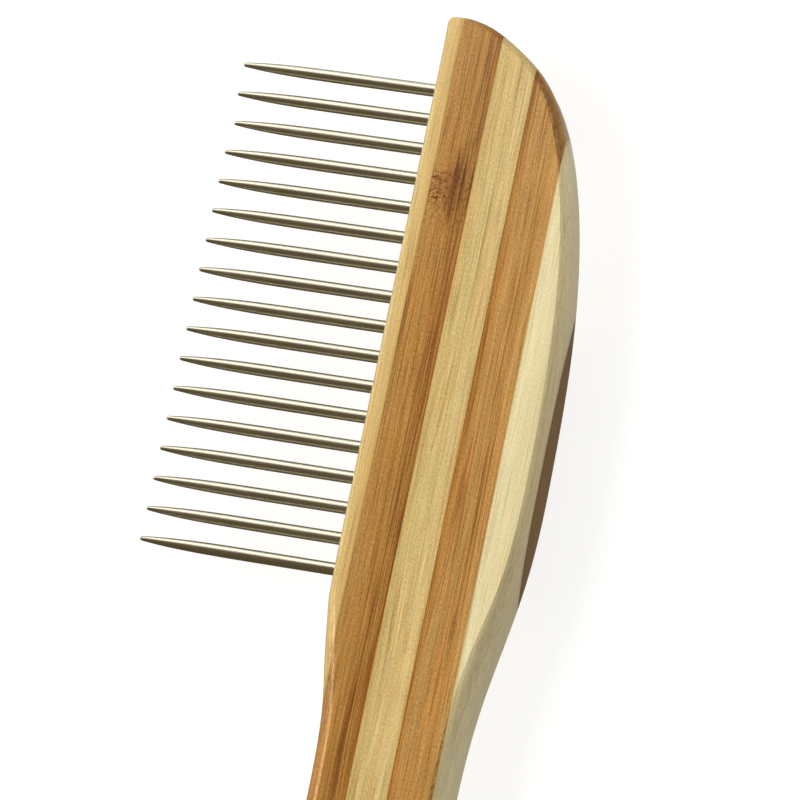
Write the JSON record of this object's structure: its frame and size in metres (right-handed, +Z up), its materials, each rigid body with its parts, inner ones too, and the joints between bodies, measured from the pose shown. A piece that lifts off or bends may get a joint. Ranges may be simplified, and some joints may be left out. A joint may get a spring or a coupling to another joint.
{
  "type": "rotating-pin pet comb",
  "caption": "Pet grooming comb: laminated bamboo handle and head in one board, with a straight row of round tapered steel pins that turn freely in brass sleeves.",
  "frame": {"origin": "middle of the comb's box in X and Y, on the plane that its back face rests on", "axes": "+X away from the pins' tips, towards the spine; +Y along the comb towards the head; +Z up through the thickness of the board"},
  "size_m": [0.0576, 0.2026, 0.0127],
  "materials": {
    "pale_bamboo": "pale bamboo strip, sanded and satin lacquered",
    "brown_bamboo": "carbonised brown bamboo strip, sanded and satin lacquered",
    "dark_bamboo": "dark carbonised bamboo, sanded and satin lacquered",
    "polished_steel": "turned and polished stainless steel",
    "sleeve_brass": "plain turned brass, hidden in the wood"
  },
  "bodies": {
    "handle": {"strip_1_head": "pale_bamboo", "strip_1_handle": "pale_bamboo", "strip_2": "brown_bamboo", "strip_3": "pale_bamboo", "strip_4": "brown_bamboo", "strip_5": "pale_bamboo", "strip_6_spine": "dark_bamboo", "sleeve_01": "sleeve_brass", "sleeve_02": "sleeve_brass", "sleeve_03": "sleeve_brass", "sleeve_04": "sleeve_brass", "sleeve_05": "sleeve_brass", "sleeve_06": "sleeve_brass", "sleeve_07": "sleeve_brass", "sleeve_08": "sleeve_brass", "sleeve_09": "sleeve_brass", "sleeve_10": "sleeve_brass", "sleeve_11": "sleeve_brass", "sleeve_12": "sleeve_brass", "sleeve_13": "sleeve_brass", "sleeve_14": "sleeve_brass", "sleeve_15": "sleeve_brass", "sleeve_16": "sleeve_brass", "sleeve_17": "sleeve_brass"},
    "pin_01": {"pin_01": "polished_steel"},
    "pin_02": {"pin_02": "polished_steel"},
    "pin_03": {"pin_03": "polished_steel"},
    "pin_04": {"pin_04": "polished_steel"},
    "pin_05": {"pin_05": "polished_steel"},
    "pin_06": {"pin_06": "polished_steel"},
    "pin_07": {"pin_07": "polished_steel"},
    "pin_08": {"pin_08": "polished_steel"},
    "pin_09": {"pin_09": "polished_steel"},
    "pin_10": {"pin_10": "polished_steel"},
    "pin_11": {"pin_11": "polished_steel"},
    "pin_12": {"pin_12": "polished_steel"},
    "pin_13": {"pin_13": "polished_steel"},
    "pin_14": {"pin_14": "polished_steel"},
    "pin_15": {"pin_15": "polished_steel"},
    "pin_16": {"pin_16": "polished_steel"},
    "pin_17": {"pin_17": "polished_steel"}
  },
  "joints": [
    {"name": "pin_01_spin", "type": "hinge", "parent": "handle", "child": "pin_01", "pos_m": [0.00153, 0.0908, 0.00635], "axis": [-1, 0, 0], "continuous": true},
    {"name": "pin_02_spin", "type": "hinge", "parent": "handle", "child": "pin_02", "pos_m": [0.00153, 0.0862, 0.00635], "axis": [-1, 0, 0], "continuous": true},
    {"name": "pin_03_spin", "type": "hinge", "parent": "handle", "child": "pin_03", "pos_m": [0.00153, 0.0816, 0.00635], "axis": [-1, 0, 0], "continuous": true},
    {"name": "pin_04_spin", "type": "hinge", "parent": "handle", "child": "pin_04", "pos_m": [0.00153, 0.077, 0.00635], "axis": [-1, 0, 0], "continuous": true},
    {"name": "pin_05_spin", "type": "hinge", "parent": "handle", "child": "pin_05", "pos_m": [0.00153, 0.0724, 0.00635], "axis": [-1, 0, 0], "continuous": true},
    {"name": "pin_06_spin", "type": "hinge", "parent": "handle", "child": "pin_06", "pos_m": [0.00153, 0.0678, 0.00635], "axis": [-1, 0, 0], "continuous": true},
    {"name": "pin_07_spin", "type": "hinge", "parent": "handle", "child": "pin_07", "pos_m": [0.00153, 0.0632, 0.00635], "axis": [-1, 0, 0], "continuous": true},
    {"name": "pin_08_spin", "type": "hinge", "parent": "handle", "child": "pin_08", "pos_m": [0.00153, 0.0586, 0.00635], "axis": [-1, 0, 0], "continuous": true},
    {"name": "pin_09_spin", "type": "hinge", "parent": "handle", "child": "pin_09", "pos_m": [0.00153, 0.054, 0.00635], "axis": [-1, 0, 0], "continuous": true},
    {"name": "pin_10_spin", "type": "hinge", "parent": "handle", "child": "pin_10", "pos_m": [0.00153, 0.0494, 0.00635], "axis": [-1, 0, 0], "continuous": true},
    {"name": "pin_11_spin", "type": "hinge", "parent": "handle", "child": "pin_11", "pos_m": [0.00153, 0.0448, 0.00635], "axis": [-1, 0, 0], "continuous": true},
    {"name": "pin_12_spin", "type": "hinge", "parent": "handle", "child": "pin_12", "pos_m": [0.00153, 0.0402, 0.00635], "axis": [-1, 0, 0], "continuous": true},
    {"name": "pin_13_spin", "type": "hinge", "parent": "handle", "child": "pin_13", "pos_m": [0.00153, 0.0356, 0.00635], "axis": [-1, 0, 0], "continuous": true},
    {"name": "pin_14_spin", "type": "hinge", "parent": "handle", "child": "pin_14", "pos_m": [0.00153, 0.031, 0.00635], "axis": [-1, 0, 0], "continuous": true},
    {"name": "pin_15_spin", "type": "hinge", "parent": "handle", "child": "pin_15", "pos_m": [0.00153, 0.0264, 0.00635], "axis": [-1, 0, 0], "continuous": true},
    {"name": "pin_16_spin", "type": "hinge", "parent": "handle", "child": "pin_16", "pos_m": [0.00153, 0.0218, 0.00635], "axis": [-1, 0, 0], "continuous": true},
    {"name": "pin_17_spin", "type": "hinge", "parent": "handle", "child": "pin_17", "pos_m": [0.00153, 0.0172, 0.00635], "axis": [-1, 0, 0], "continuous": true}
  ]
}
